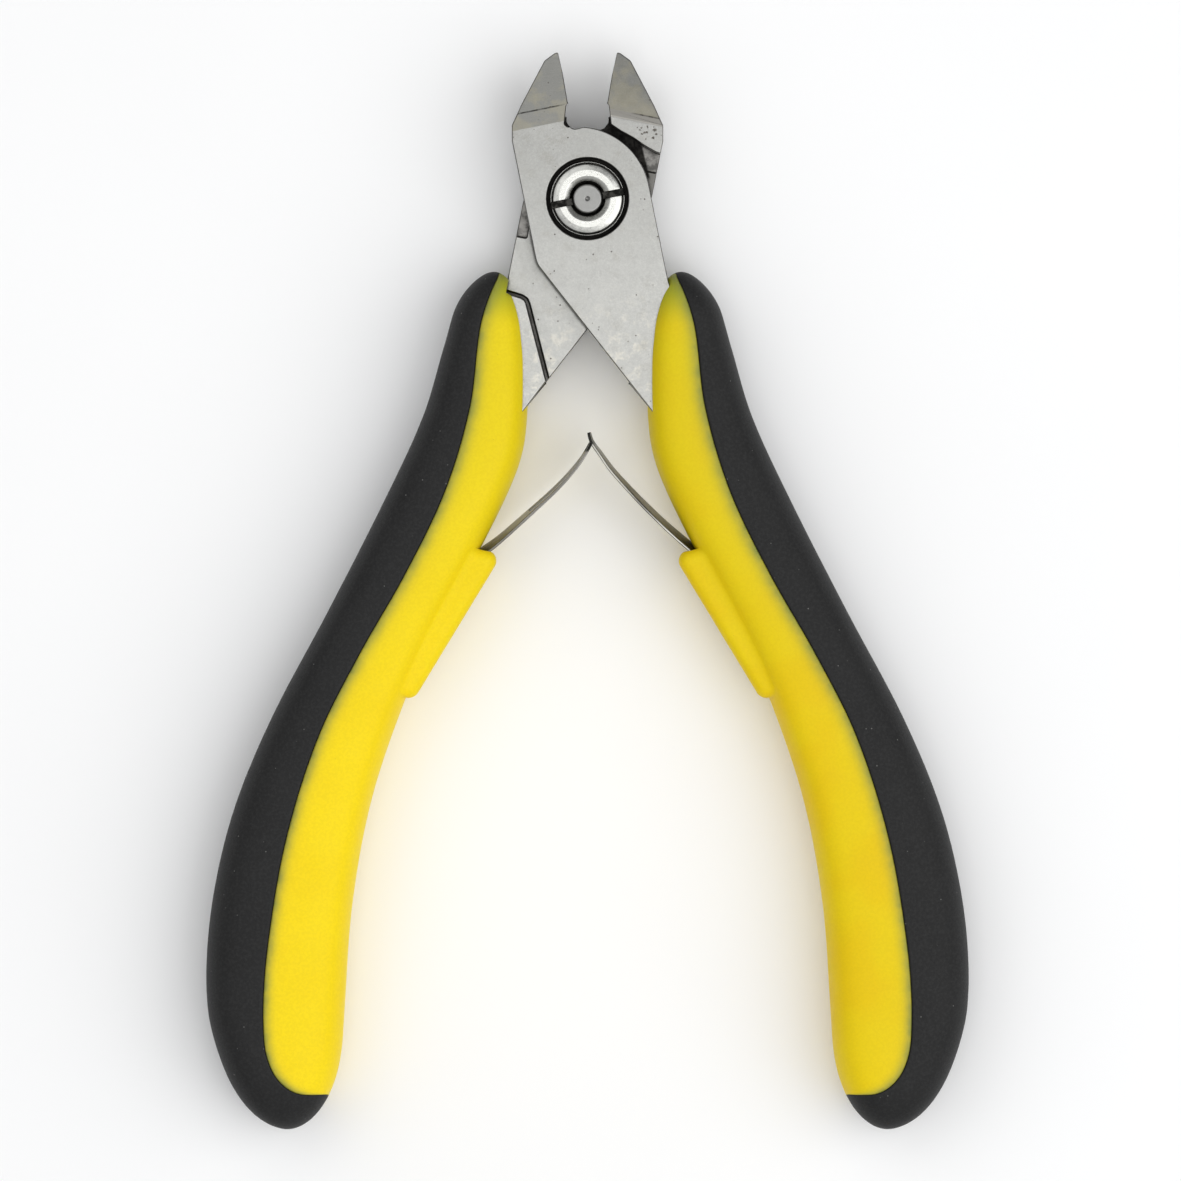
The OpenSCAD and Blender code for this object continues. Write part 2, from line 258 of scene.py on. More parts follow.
# Where the ground jaw starts, the line across it, and the x that the line starts from.
JAW_STEP = {FRONT: (9.2, 11.03, 0.0), REAR: (9.75, 10.55, -2.6)}
PIT_PATCH = (-5.3, 8.5)  # middle of the pitted patch on the rear jaw's step
HOLLOW_Z = 5.85  # the laps' hollows lie below this height
BACK_Z = 5.35  # what lies below this height belongs to the back
NUT_SEAT_R, NUT_SEAT_Z = 4.75, 9.2


def times(s, *factors):
    """Product of several sockets or numbers."""
    product = factors[0]
    for factor in factors[1:]:
        product = s.math("MULTIPLY", product, factor)
    return product


def steel_pits(s, side, x, y):
    """Clusters of rust pits, and on the rear half the pitted patch on the jaw's step."""
    pits = s.ramp(s.cells(1.1, seed=side), 0.13, 0.06)
    pits = times(s, pits, s.ramp(s.noise(0.6, 2, seed=9 + side), 0.48, 0.58))
    if side == FRONT:
        return pits
    to_patch = s.math("ADD", s.math("POWER", s.math("SUBTRACT", x, PIT_PATCH[0]), 2.0),
                      s.math("POWER", s.math("SUBTRACT", y, PIT_PATCH[1]), 2.0))
    shaken = s.vec("ADD", s.point, s.vec("SCALE", s.wobble(3.0), scale=0.4 * MM))
    spots = s.ramp(s.cells(1.9, point=shaken), 0.34, 0.22)
    return s.math("MAXIMUM", pits, times(s, s.ramp(to_patch, 1.9, 0.9), spots))


def tumbled_steel(s, side, y, grain, mottle):
    """Pale tumbled body: clouds, bright blotches down the tang, stains and grain, duller to the tip."""
    blotch = s.ramp(s.noise(0.9, 5, 0.7, seed=21), 0.50, 0.66)
    stain = s.ramp(s.noise(0.55, 3, 0.55, seed=5 + side), 0.52, 0.72)
    body = s.mix(s.noise(0.30, 4, 0.6, seed=side), (0.35, 0.35, 0.335), (0.44, 0.44, 0.42))
    body = s.mix(times(s, blotch, s.ramp(y, -8.0, -20.0), 0.8), body, (0.60, 0.575, 0.50))
    body = s.mix(times(s, stain, 0.40), body, (0.29, 0.28, 0.245))
    body = s.mix(s.ramp(grain, 0.35, 0.70, 0.0, 0.45), body, (0.54, 0.535, 0.51))
    body = s.mix(s.ramp(mottle, 0.56, 0.36, 0.0, 0.25), body, (0.28, 0.28, 0.265))
    body = s.mix(s.ramp(s.noise(3.6, 2, 0.5, seed=18), 0.35, 0.65, 0.0, 0.2), body, (0.27, 0.27, 0.255))
    return s.mix(s.ramp(y, -14.0, 8.0, 0.0, 0.17), body, (0.02, 0.02, 0.02))


def ground_steel(s, side, y, grain, shelf):
    """Darker ground jaw with grinding lines and warm stains, lighter on its shelf; on the rear the shelf's
    lighter colour is a painted highlight.
    """
    lines = s.noise(2.2, 3, 0.7, stretch=(0.25, 4.0, 1.0), seed=3)
    ground = s.mix(lines, (0.20, 0.20, 0.188), (0.262, 0.262, 0.245))
    warm = s.ramp(s.noise(0.45, 4, 0.6, seed=12 + side), 0.45, 0.66, 0.0, 0.7)
    ground = s.mix(warm, ground, (0.32, 0.30, 0.225))
    if side == REAR:
        ground = s.mix(s.ramp(y, 14.0, 20.0, 0.26, 0.42), ground, (0.07, 0.072, 0.065))
        ground = s.mix(s.ramp(y, 13.2, 11.0, 0.0, 0.5), ground, (0.31, 0.29, 0.225))
    ground = s.mix(s.ramp(grain, 0.35, 0.70, 0.0, 0.3), ground, (0.34, 0.335, 0.315))
    # On the rear half the much lighter shelf is a painted highlight where the relief catches the lamps.
    lift, lighter = (0.10, (0.55, 0.54, 0.51)) if side == FRONT else (0.85, (0.52, 0.50, 0.46))
    return s.mix(times(s, shelf, lift), ground, lighter)


def jaw_line(s, x, y, line_y, from_x):
    """Broken dark line where the ground face meets the shelf."""
    line = s.ramp(s.math("ABSOLUTE", s.math("SUBTRACT", y, line_y)), 0.12, 0.04)
    worn = s.ramp(s.noise(1.8, 3, 0.7, seed=14), 0.35, 0.6, 0.45, 0.95)
    return times(s, line, s.ramp(x, from_x, from_x - 1.5), worn)


def shaded_hollows(s, side, colour, x, y, z):
    """Painted shade, mottled, on the floors of the laps' hollows and on the strip under the front half's
    edge.
    """
    facing_up = s.ramp(s.split(s.normal_out)[2], 0.4, 0.7)
    above_back = s.ramp(z, BACK_Z - 0.05, BACK_Z + 0.05)
    in_hollow = times(s, s.ramp(z, HOLLOW_Z + 0.05, HOLLOW_Z - 0.05), above_back, facing_up)
    shade_colour = s.mix(s.ramp(s.noise(0.9, 3, 0.6, seed=8), 0.38, 0.62), (0.085, 0.083, 0.078),
                  (0.235, 0.228, 0.215))
    colour = s.mix(in_hollow, colour, shade_colour)
    if side == REAR:
        # Painted shade on the strip under the front half's edge.
        under = times(s, s.ramp(z, 6.2, 6.1), above_back, s.ramp(x, -5.4, -6.0), facing_up,
                      s.ramp(y, 4.7, 4.4), s.ramp(y, 0.5, 2.0))
        colour = s.mix(times(s, under, 0.8), colour, (0.11, 0.105, 0.095))
    return colour


def painted_gap_shade(s, side, x, y, z):
    """Where painted shade goes: 1 in the gap beside the other half's jaw and on the seat of the nut."""
    if side == FRONT:
        gap = s.ramp(y, 8.2, 8.5)
    else:
        edge = s.math("MULTIPLY_ADD", y, -0.48, x)
        gap = times(s, s.ramp(edge, -8.45, -8.15), s.ramp(y, 3.4, 4.0))
    below = s.math("MAXIMUM", s.ramp(z, 8.3, 8.2),
                   times(s, s.ramp(z, 9.42, 9.36), s.ramp(y, 9.15, 9.05)))
    above = s.ramp(z, 5.2, 5.4)
    gap = times(s, gap, below, s.ramp(x, -6.9, -6.6), above, s.ramp(y, 11.2, 11.0))
    radius = s.math("POWER", s.math("ADD", s.math("POWER", x, 2.0), s.math("POWER", y, 2.0)), 0.5)
    seat = times(s, s.ramp(radius, NUT_SEAT_R + 0.05, NUT_SEAT_R - 0.05),
                 s.ramp(z, NUT_SEAT_Z + 0.05, NUT_SEAT_Z - 0.05), above)
    return s.math("MAXIMUM", gap, seat)


def steel_material(side):
    """Tumbled satin steel with pits and stains; a ground, darker jaw with a painted highlight on the
    rear's shelf; painted shade in gaps, corners and hollows and along the broken edges.
    """
    s = Shader(f"{SIDES[side]['handle']}_steel")
    x, y = half_point(s, side)
    z = s.math("MULTIPLY", s.split(s.point)[2], 1 / MM)
    up = s.split(s.normal_out)[2]
    step_low, line_y, from_x = JAW_STEP[side]
    jaw = s.ramp(y, step_low - 0.1, step_low + 0.1)
    tilted = s.ramp(s.math("ABSOLUTE", up), 0.9995, 0.997)
    stripe = s.math("MULTIPLY", jaw, tilted, clamp=True)
    shelf = s.ramp(y, line_y + 0.05, line_y - 0.05)
    mottle = s.noise(1.1, 4, 0.65, seed=2 + side)
    grain = s.noise(11.0, 2, 0.6)
    pits = steel_pits(s, side, x, y)
    body = tumbled_steel(s, side, y, grain, mottle)
    ground = ground_steel(s, side, y, grain, shelf)
    colour = s.mix(jaw, body, s.mix(0.75, body, ground))
    colour = s.mix(stripe, colour, ground)
    colour = s.mix(jaw_line(s, x, y, line_y, from_x), colour, (0.03, 0.029, 0.026))
    colour = s.mix(pits, colour, (0.10, 0.09, 0.08))
    colour = shaded_hollows(s, side, colour, x, y, z)
    gap = painted_gap_shade(s, side, x, y, z)
    # Painted shade, near black and mottled, in the gap beside the other half's jaw and on the nut's seat.
    gap_shade_colour = s.mix(s.ramp(s.noise(1.2, 3, 0.6, seed=16), 0.4, 0.65),
                 (0.016, 0.0155, 0.0145), (0.06, 0.057, 0.052))
    colour = s.mix(gap, colour, gap_shade_colour)
    # Painted shade in corners and gaps.
    colour = s.mix(times(s, s.crevice(0.5), 0.95), colour, (0.04, 0.038, 0.035))
    # Painted shade along the broken edges, where the faces turn away: a dark outline.
    painted_edge_shade = times(s, s.ramp(up, 0.92, 0.80), s.ramp(up, 0.05, 0.2))
    colour = s.mix(times(s, painted_edge_shade, 0.85), colour, (0.045, 0.043, 0.04))
    rough = s.math("ADD", s.ramp(mottle, 0.3, 0.7, 0.34, 0.46), times(s, stripe, -0.06))
    rough = s.math("MULTIPLY_ADD", gap, 0.35, rough)
    metal = 1.0
    if side == REAR:
        # The rear shelf is made mostly non-metallic so that its lighter colour reads as a painted
        # highlight.
        lit_shelf = times(s, stripe, shelf, s.ramp(y, 9.6, 9.75))
        metal = s.math("MULTIPLY_ADD", lit_shelf, -0.8, 1.0)
    s.set(Base_Color=colour, Metallic=metal, Roughness=rough)
    height = s.math("ADD", times(s, grain, 0.5), times(s, mottle, 0.5))
    height = times(s, height, s.ramp(stripe, 0, 1, 1.0, 0.25))
    height = s.math("SUBTRACT", height, times(s, pits, 2.5))
    s.set(Normal=s.bump(height, 0.02, 0.35))
    return s.material


def turned_material(name, colour, rough, shade_below):
    """Turned steel, with fine rings about the pivot, painted shade in its corners, and near-black painted
    shade on what lies deep below the face, in its slot and grooves.
    """
    s = Shader(name)
    from_pivot = s.vec("SUBTRACT", s.point, (PIVOT[0], PIVOT[1], 0))
    radius = s.vec("LENGTH", s.vec("MULTIPLY", from_pivot, (1 / MM, 1 / MM, 0)))
    z = s.math("MULTIPLY", s.split(s.point)[2], 1 / MM)
    rings = s.tree.nodes.new("ShaderNodeTexNoise")
    rings.noise_dimensions = "1D"
    s.put(rings.inputs["W"], s.math("MULTIPLY", radius, 6.0))
    mottle = s.noise(1.6, 3, 0.6)
    dark = tuple(c * 0.78 for c in colour)
    shade = s.math("ADD", s.math("MULTIPLY", rings.outputs["Fac"], 0.6),
                   s.math("MULTIPLY", mottle, 0.4))
    shade = s.mix(s.ramp(shade, 0.35, 0.65), dark, colour)
    nicks = s.ramp(s.cells(1.5, seed=3), 0.10, 0.04)
    shade = s.mix(s.math("MULTIPLY", nicks, s.ramp(mottle, 0.48, 0.55)), shade, (0.12, 0.115, 0.10))
    # Painted shade, near black and mottled, on what lies deep below the face: the slot and grooves.
    deep_shade = s.ramp(z, shade_below + 0.06, shade_below - 0.06)
    deep_shade = s.math("MULTIPLY", deep_shade, s.ramp(z, 4.0, 5.0))
    deep_mottle = s.ramp(s.noise(1.3, 3, 0.6, seed=5), 0.40, 0.60)
    shade_colour = s.mix(deep_mottle, (0.008, 0.0078, 0.0072), (0.035, 0.034, 0.031))
    # Painted shade in corners.
    shade = s.mix(s.math("MULTIPLY", s.crevice(0.35), 0.9), shade, (0.03, 0.029, 0.027))
    shade = s.mix(deep_shade, shade, shade_colour)
    s.set(Base_Color=shade, Metallic=1.0,
          Roughness=s.ramp(mottle, 0.3, 0.7, rough - 0.05, rough + 0.08))
    s.set(Normal=s.bump(rings.outputs["Fac"], 0.01, 0.4))
    return s.material


def spring_material(side):
    """Tempered leaf: rolled lines along it, brown near its root; painted shade darkens the right leaf, the
    broken edges and the two tips where they cross, and paints the top face lit on the right leaf and
    shaded on the left.
    """
    s = Shader(f"{SIDES[side]['hand']}_leaf_steel")
    from_pivot = s.vec("SUBTRACT", s.point, (PIVOT[0], PIVOT[1], 0))
    y = s.math("MULTIPLY", s.split(from_pivot)[1], 1 / MM)
    up = s.split(s.normal_out)[2]
    lines = s.noise(3.0, 3, 0.6, stretch=(0.15, 0.15, 3))
    cloud = s.noise(0.5, 3, 0.6)
    colour = s.mix(cloud, (0.27, 0.26, 0.235), (0.38, 0.365, 0.335))
    colour = s.mix(s.ramp(lines, 0.5, 0.8, 0.0, 0.5), colour, (0.46, 0.45, 0.41))
    colour = s.mix(s.ramp(y, -35.0, -40.5, 0.0, 0.85), colour, (0.13, 0.125, 0.085))
    colour = s.mix(s.ramp(y, -34.0, -28.0, 0.0, 0.5), colour, (0.50, 0.49, 0.46))
    # Painted shade: the right leaf is a darker copy of the same steel.
    if side == FRONT:
        colour = s.mix(0.35, colour, (0.05, 0.05, 0.045))
    # Painted light on the top face: lit on the right leaf, shaded on the left.
    top = (0.42, 0.41, 0.37) if side == FRONT else (0.16, 0.155, 0.14)
    colour = s.mix(s.ramp(up, 0.9, 0.97), colour, top)
    # Painted shade along the leaf's broken edges.
    broken = s.math("MULTIPLY", s.ramp(up, 0.93, 0.85), s.ramp(up, 0.25, 0.4))
    colour = s.mix(broken, colour, (0.03, 0.03, 0.028))
    # Painted shade, black, at the two tips where they cross.
    shaded_from = -27.9 if side == FRONT else -28.8
    colour = s.mix(s.ramp(y, shaded_from - 0.15, shaded_from + 0.15, 0.0, 0.97), colour, (0.012, 0.012, 0.011))
    s.set(Base_Color=colour, Metallic=1.0, Roughness=s.ramp(lines, 0.3, 0.7, 0.32, 0.46))
    s.set(Normal=s.bump(lines, 0.01, 0.3))
    return s.material


def yellow_material(side):
    """Hard yellow plastic: satin skin, faint flow clouds, grime worn in beside the black lip; painted
    shade makes the right grip darker and darkens the top end and the pocket's mouth.
    """
    s = Shader(f"{SIDES[side]['hand']}_yellow")
    # Painted shade: the right grip is a darker, warmer copy of the same plastic.
    side_shade = 0.25 if side == FRONT else 0.03
    seam = s.attribute("seam")
    pit = s.attribute("pit")
    from_pivot = s.vec("SUBTRACT", s.point, (PIVOT[0], PIVOT[1], 0))
    tip = s.ramp(s.split(from_pivot)[1], -0.0150, -0.0095)
    cloud = s.noise(0.12, 3, 0.5)
    grain = s.noise(7.0, 2, 0.55)
    patch = s.noise(0.5, 3, 0.6, seed=4)
    colour = s.mix(cloud, (0.90, 0.66, 0.006), (0.95, 0.73, 0.010))
    fade = s.ramp(s.split(from_pivot)[1], -0.070, -0.010)
    colour = s.mix(side_shade, colour, (0.40, 0.29, 0.002))
    warm = s.math("MULTIPLY", s.ramp(s.noise(0.10, 2, 0.5, seed=11), 0.40, 0.62), 4 * side_shade * (1 - side_shade))
    colour = s.mix(s.math("MULTIPLY", warm, 0.55), colour, (0.78, 0.50, 0.004))
    colour = s.mix(s.math("MULTIPLY", fade, 0.45), colour, (0.62, 0.54, 0.012))
    # Painted shade, greenish dark, on the grip's top end.
    colour = s.mix(s.math("MULTIPLY", tip, 0.85), colour, (0.33, 0.38, 0.03))
    colour = s.mix(s.ramp(s.noise(3.2, 2, 0.5, seed=5), 0.35, 0.65, 0.0, 0.12), colour,
                   (0.55, 0.38, 0.003))
    grime = s.math("MULTIPLY", s.ramp(seam, 0.0, 1.0), s.ramp(patch, 0.2, 0.8, 0.6, 1.0))
    colour = s.mix(grime, colour, (0.24, 0.26, 0.06))
    specks = s.ramp(s.cells(0.55, seed=7), 0.035, 0.02)
    colour = s.mix(s.math("MULTIPLY", specks, 0.4), colour, (0.45, 0.33, 0.03))
    # Painted shade, dark brown, in the pocket's mouth where the leaf goes in.
    colour = s.mix(s.ramp(pit, 0.1, 0.9), colour, (0.06, 0.025, 0.008))
    s.set(Base_Color=colour, Roughness=s.ramp(patch, 0.3, 0.7, 0.42, 0.52),
          Specular_IOR_Level=0.12, Subsurface_Weight=0.12,
          Subsurface_Radius=(1.0, 0.7, 0.1), Subsurface_Scale=0.0015)
    s.set(Normal=s.bump(grain, 0.012, 0.35))
    return s.material


def black_material():
    """Soft black over-moulding: fine matte grain, dust caught in it, paler patches here and there."""
    s = Shader("black_cover")
    grain = s.noise(8.0, 3, 0.6)
    cloud = s.noise(0.16, 3, 0.6, seed=3)
    colour = s.mix(cloud, (0.006, 0.006, 0.0062), (0.012, 0.012, 0.0122))
    colour = s.mix(s.ramp(s.noise(3.0, 2, 0.5, seed=9), 0.40, 0.70, 0.0, 0.5), colour,
                   (0.020, 0.020, 0.020))
    dust = s.ramp(s.cells(0.75, seed=2), 0.075, 0.035)
    dust = s.math("MULTIPLY", dust, s.ramp(s.noise(0.5, 2, seed=6), 0.44, 0.54))
    colour = s.mix(s.math("MULTIPLY", dust, 0.5), colour, (0.22, 0.22, 0.21))
    s.set(Base_Color=colour, Roughness=s.ramp(grain, 0.3, 0.7, 0.58, 0.72),
          Specular_IOR_Level=0.28)
    s.set(Normal=s.bump(grain, 0.02, 0.5))
    return s.material


# ---------------------------------------------------------------- grips
# The curves are those of the solid model: x at y by stations (y, x), closed tool, pivot at 0, in mm.

OUTER = [(-8, 11.2), (-14, 12.25), (-20, 12.75), (-28, 13.5), (-38, 15.85), (-52, 19.75),
         (-65, 23.6), (-76, 25.75), (-86, 26.15), (-95, 25.2), (-104, 22.9), (-112, 21.6)]
INNER = [(-8, 5.5), (-14, 4.6), (-20, 2.9), (-28, 1.6), (-33, 1.95), (-42, 4.25),
         (-52, 7.3), (-60, 9.1), (-72, 10.6), (-84, 10.4), (-96, 8.9), (-104, 7.8), (-112, 7)]
SEAM = [(-9, 7.7), (-13, 8.75), (-17, 9.1), (-26, 8.45), (-36, 9.35), (-46, 11.9),
        (-56, 15.2), (-66, 17.9), (-78, 19.2), (-90, 18.9), (-98, 17.9), (-108, 15.6)]
DEPTH = [(-10, 5), (-18, 5.6), (-30, 6.15), (-50, 6.4), (-90, 6.5), (-112, 6.2)]
TOP_Y, TOP_CAP, TOP_X = -10.2, 6.0, 8.5
END_Y, END_CAP, END_X = -110.8, 12.2, 13.2
# how far the seam has turned round the grip's end at y: 0 on its line, 1 at the inner side's middle
SEAM_TURN = [(-98, 0), (-102, 0.012), (-104, 0.055), (-105.4, 0.125), (-106.6, 0.24), (-107.5, 0.40),
             (-107.85, 0.57), (-108.0, 0.78), (-108.1, 1)]
SEAM_END = SEAM_TURN[-1][0]
# the rings rise by RISE towards the inner side: from RISE_FROM on, fully at RISE_FULL, till RISE_DONE
RISE_FROM, RISE_FULL, RISE_DONE, RISE = -97.0, -106.0, -108.3, 2.1
BULGE = 2.5  # exponent of the sections, 2 for an ellipse
MOUTH, POCKET_TILT = (3.78, -41.7), 19.5
RIB_TOP = (MOUTH[0] - 0.51, MOUTH[1] - 1.04)
RIB_END = (MOUTH[0] + 5.21, MOUTH[1] - 16.86)
RIB_R, RIB_HALF = 1.25, 3.8
LAP_SIDE, STEP_Y = 7.0, -12.6  # the yellow stops at the lap's side, down to the tang's step
EASE = 1.6  # width of the rounding onto the flats
SEAM_PARTS = 40


def cap(y):
    a = max((y - TOP_Y + TOP_CAP) / TOP_CAP, 0)
    b = max((END_Y + END_CAP - y) / END_CAP, 0)
    return math.sqrt(max(1 - max(a, b) ** 2, 0.0004))


def level(z):
    """Height from the grip's middle plane, eased onto the flats."""
    rest = max(EASE - abs(abs(z) - GRIP_MID), 0) / EASE
    flat = min(abs(z), GRIP_MID) - rest * rest * EASE / 4
    return math.copysign(min(flat * 1.032, GRIP_MID), z)


def section(y):
    """(centre x, half width, half depth) of the grip at y."""
    k = cap(y)
    end = TOP_X if y > -60 else END_X
    outer = end + (curve_at(OUTER, y) - end) * k
    inner = end + (curve_at(INNER, y) - end) * k
    return (outer + inner) / 2, (outer - inner) / 2, curve_at(DEPTH, y) * k ** 0.7


def rib_side(y):
    """(x, rounding) of the spring pocket's rib at y, or None above and below it."""
    dx, dy = RIB_END[0] - RIB_TOP[0], RIB_END[1] - RIB_TOP[1]
    length = math.hypot(dx, dy)
    drop = RIB_R * dx / length
    if y > RIB_TOP[1] - drop:
        x, rest = RIB_TOP[0], y - RIB_TOP[1]
    elif y < RIB_END[1] - drop:
        x, rest = RIB_END[0], y - RIB_END[1]
    else:
        return RIB_TOP[0] + RIB_R * dy / length + dx / dy * (y - RIB_TOP[1] + drop), RIB_R
    if abs(rest) >= RIB_R:
        return None
    r = math.sqrt(RIB_R ** 2 - rest ** 2)
    return x - r, r


def rib_reach(y, centre, c, s):
    """Distance from the section's centre to the rib along (c, s), or 0 where there is none."""
    at = rib_side(y)
    if at is None:
        return 0
    x, r = at
    wide, high = centre - x - r, RIB_HALF - RIB_R
    near, far = 0, 30
    for _ in range(22):
        t = (near + far) / 2
        px, pz = max(t * abs(c) - wide, 0), max(t * abs(s) - high, 0)
        if math.hypot(px, pz) < r:
            near = t
        else:
            far = t
    return near


def skin(y, angle):
    """Point of the grip's skin at height y, looking from the section's centre at angle."""
    centre, w, h = section(y)
    c, s = math.cos(angle), math.sin(angle)
    r = ((abs(c) / w) ** BULGE + (abs(s) / h) ** BULGE) ** (-1 / BULGE)
    if c < 0:
        r = smooth_max(r, rib_reach(y, centre, c, s), 0.7)
    return centre + r * c, level(r * s)


def seam_angle(y):
    """Where the black lip meets the yellow, seen from the section's centre."""
    centre, w, h = section(y)
    x = min(max(curve_at(SEAM, y), centre - w * 0.98), centre + w * 0.98)
    u = abs((x - centre) / w)
    line = math.atan2(h * (1 - u ** BULGE) ** (1 / BULGE), x - centre)
    if y >= SEAM_TURN[0][0]:
        return line
    if y <= SEAM_END:
        return math.pi
    angles = [line + (math.pi - line) * k / SEAM_PARTS for k in range(SEAM_PARTS + 1)]
    points = [skin(y, angle) for angle in angles]
    lengths = [0]
    for a, b in zip(points, points[1:]):
        lengths.append(lengths[-1] + math.dist(a, b))
    want = lengths[-1] * curve_at(SEAM_TURN, y)
    k = max(i for i in range(SEAM_PARTS) if lengths[i] <= want)
    part = (want - lengths[k]) / (lengths[k + 1] - lengths[k])
    return angles[k] + (angles[k + 1] - angles[k]) * min(part, 1)


def row_y(y, angle):
    """Height of a ring at angle: near the grip's end the rings rise towards the inner side."""
    rise = RISE * smoothstep(RISE_FROM, RISE_FULL, y) * smoothstep(END_Y, RISE_DONE, y)
    return y + rise * smoothstep(1.2, 2.9, abs(math.atan2(math.sin(angle), math.cos(angle))))


def rows():
    """Heights of the rings, crowded at the rounded ends and at the ends of the rib."""
    ys = []
    y = TOP_Y - 0.002
    while y > END_Y + 0.002:
        ys.append(y)
        near_end = min(TOP_Y - y, y - END_Y)
        near_rib = min(abs(y - RIB_TOP[1] - RIB_R), abs(y - RIB_END[1] + RIB_R))
        near_turn = max(abs(y - SEAM_END - 0.25) - 0.25, 0)
        step = min(0.5, 0.02 + near_end * 0.12, 0.05 + near_rib * 0.12, 0.02 + near_turn * 0.12)
        y = SEAM_END if y > SEAM_END > y - step else y - step
    ys.append(END_Y + 0.001)
    return ys


# (distance along the skin from the seam, depth under the skin) of each piece's edge, in mm
YELLOW_LIP = [(0.0, 0.9), (0.03, 0.28), (0.12, 0.12), (0.3, 0.05), (0.6, 0.01)]
BLACK_LIP = [(0.0, 0.9), (0.02, 0.16), (0.08, 0.05), (0.2, 0.0), (0.45, 0.0)]


def grip_piece(side, yellow, count):
    """One grip piece: rings of skin points from seam to seam, with the seam's lips rolled in."""
    hand = SIDES[side]["hand"]
    name = f"{hand}_{'yellow_core' if yellow else 'black_cover'}"
    lip = YELLOW_LIP if yellow else BLACK_LIP
    verts, seam_tint, pit_shade, rings = [], [], [], []
    for y in rows():
        if yellow and y < SEAM_END:
            break
        w, h = section(y)[1:]
        at_seam = seam_angle(y)
        start, stop = (at_seam, 2 * math.pi - at_seam) if yellow else (-at_seam, at_seam)
        size = max(w, h)
        room = max((stop - start) * size / 2 * 0.8, 0.001)
        scale = min(1, room / 1.2)
        closed = not yellow and y < SEAM_END
        steps = []
        for along, depth in lip:
            steps.append((start + along * scale / size, 0 if closed else depth * scale))
        first, last = steps[-1][0], stop - lip[-1][0] * scale / size
        inside = [(first + (last - first) * (k / (count + 1)), 0) for k in range(1, count + 1)]
        back = [(stop - along * scale / size, 0 if closed else depth * scale)
                for along, depth in reversed(lip)]
        ring = []
        for angle, depth in steps + inside + back:
            at_y = row_y(y, angle)
            px, pz = skin(at_y, angle)
            qx, qz = skin(at_y, angle + 0.01)
            nx, nz = qz - pz, px - qx
            norm = math.hypot(nx, nz) or 1
            ring.append(len(verts))
            depth = min(depth, min(w, h) * 0.5)
            if yellow and side * pz < 0.7:
                px = max(px, LAP_SIDE - smoothstep(STEP_Y + 0.15, STEP_Y - 0.15, y) * 9)
            pit = math.exp(-(math.hypot(px - MOUTH[0], y - MOUTH[1]) / 0.55) ** 2)
            pit *= smoothstep(3.2, 2.5, abs(pz))
            along = math.radians(POCKET_TILT)
            verts.append(placed(side, px - nx / norm * depth + math.sin(along) * pit * 0.7,
                                at_y - math.cos(along) * pit * 0.7,
                                GRIP_MID + pz - nz / norm * depth))
            near = max(min(angle - start, stop - angle), 0) * size
            seam_tint.append(0.0 if closed else math.exp(-(near / 1.15) ** 1.3))
            # How much painted shade the pocket's mouth gets.
            pit_shade.append(pit)
        rings.append(ring)
    faces = []
    for a, b in zip(rings, rings[1:]):
        for k in range(len(a) - 1):
            faces.append((a[k], a[k + 1], b[k + 1], b[k]))
    faces.append(tuple(rings[0]))
    if not yellow:
        faces.append(tuple(reversed(rings[-1])))
    obj = mesh_object(name, verts, faces)
    for key, values in (("seam", seam_tint), ("pit", pit_shade)):
        obj.data.attributes.new(key, "FLOAT", "POINT").data.foreach_set("value", values)
    tidy_normals(obj)
    return obj


def build_grip(side, yellow_mat, black_mat):
    hand, handle = SIDES[side]["hand"], SIDES[side]["handle"]
    core = grip_piece(side, True, 84)
    core.data.materials.append(yellow_mat)
    cover = grip_piece(side, False, 64)
    cover.data.materials.append(black_mat)
    for piece, node, slot in ((core, f"{hand}_grip_core", "yellow_core"),
                              (cover, f"{hand}_grip_cover", "black_cover")):
        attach(piece, handle)
        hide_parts(node)


# ---------------------------------------------------------------- leaf springs
# Centre lines in the open tool from the pocket's mouth to the tip, in mm. The left one is mirrored,
# and the pair stands a little to the right of the middle.

LEAF = {
    FRONT: [(12.2, -40.05), (10.45, -38.55), (8.6, -36.9), (5.8, -34.15), (2.95, -31.05),
            (1.45, -29.0), (0.5, -27.65), (0.18, -26.6)],
    REAR: [(12.0, -40.3), (10.75, -39.35), (9.35, -38.2), (6.55, -35.7), (3.7, -33.1),
           (1.8, -31.05), (0.5, -29.35), (-0.38, -27.8)],
}
LEAF_W, ROOT_LEN = 5.0, 12.0
EDGE_T, LEAN_ROOT, LEAN_TIP = 0.32, 0.84, 0.14
FORK_FROM, SHOULDER_AT, TONGUE_AT = 3, 0.30, 0.50
TONGUE_W, FORK_SLOT = 1.9, 2.6


def spline(points, per):
    """Smooth curve through points, with per steps to a span."""
    n = len(points)
    out = []
    for i in range(n - 1):
        a, b = points[max(i - 1, 0)], points[i]
        c, d = points[i + 1], points[min(i + 2, n - 1)]
        for k in range(per):
            t = k / per
            out.append(tuple(0.5 * (2 * q + (r - p) * t + (2 * p - 5 * q + 4 * r - s) * t * t
                                    + (3 * q - p - 3 * r + s) * t ** 3)
                             for p, q, r, s in zip(a, b, c, d)))
    return out + [points[-1]]


